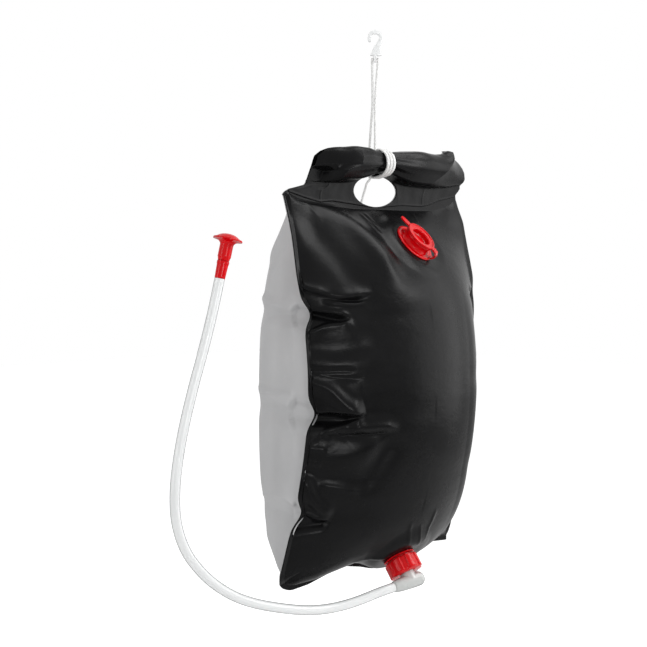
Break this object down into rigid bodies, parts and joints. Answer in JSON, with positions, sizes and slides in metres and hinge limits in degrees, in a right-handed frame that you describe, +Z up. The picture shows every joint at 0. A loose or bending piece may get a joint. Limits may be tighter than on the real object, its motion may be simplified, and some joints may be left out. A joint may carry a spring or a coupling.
{
  "type": "camp shower bag",
  "caption": "Filled camp shower bag of welded film that hangs from a cord and hook, with a lidded filler, screw outlet, hose and shower head.",
  "frame": {"origin": "middle of the flat seat inside the hook's throat, where the support bears", "axes": "+Z up, -Y out of the bag's front (black) face, +X to the right seen from the front"},
  "size_m": [0.4677, 0.2332, 0.6875],
  "materials": {
    "black_film": "satin film with soft creases",
    "grey_film": "matt film",
    "red_plastic": "glossy moulding",
    "clear_plastic": "milky translucent moulding",
    "hose_plastic": "milky translucent tube",
    "cord": "braided",
    "rod_plastic": "plain",
    "seal_rubber": "matt"
  },
  "bodies": {
    "hook": {"hook": "clear_plastic"},
    "bag": {"hang_cord": "cord", "cord_wrap": "cord", "cord_tail": "cord", "cord_knot": "cord", "tail_knot": "cord", "header_sleeve": "black_film", "handle_rod": "rod_plastic", "front_panel": "black_film", "rear_panel": "grey_film", "filler_flange": "red_plastic", "filler_strap": "red_plastic", "outlet_spout": "red_plastic"},
    "lid": {"filler_lid": "red_plastic"},
    "coupling": {"outlet_seal": "seal_rubber"},
    "nut": {"outlet_nut": "red_plastic"},
    "hose_arm": {"outlet_elbow": "clear_plastic", "hose": "hose_plastic", "shower_body": "red_plastic"},
    "rose": {"shower_rose": "red_plastic", "shower_seal": "seal_rubber", "rose_plate": "red_plastic"}
  },
  "joints": [
    {"name": "cord_swing", "type": "hinge", "parent": "hook", "child": "bag", "pos_m": [0, 0, -0.0295], "axis": [0.7071, -0.7071, 0], "range_deg": [-25, 25]},
    {"name": "filler_lid_hinge", "type": "hinge", "parent": "bag", "child": "lid", "pos_m": [0.03353, -0.06703, -0.26172], "axis": [0.8845, 0.396, 0.2467], "range_deg": [0, 120]},
    {"name": "outlet_travel", "type": "slide", "parent": "bag", "child": "coupling", "axis": [0, -0.6, -0.8], "range_m": [0, 0.009]},
    {"name": "outlet_nut_turn", "type": "hinge", "parent": "coupling", "child": "nut", "pos_m": [0, -0.0405, -0.6318], "axis": [0, -0.6, -0.8], "range_deg": [0, 1080]},
    {"name": "hose_swivel", "type": "hinge", "parent": "coupling", "child": "hose_arm", "pos_m": [0, -0.0405, -0.6318], "axis": [0, -0.6, -0.8], "range_deg": [-40, 120]},
    {"name": "shower_rose_slide", "type": "slide", "parent": "hose_arm", "child": "rose", "axis": [0.2276, -0.0525, 0.9723], "range_m": [0, 0.006]}
  ],
  "couplings": [
    {"joint": "outlet_nut_turn", "follows": "outlet_travel", "rad_per_m": 2094.4}
  ]
}
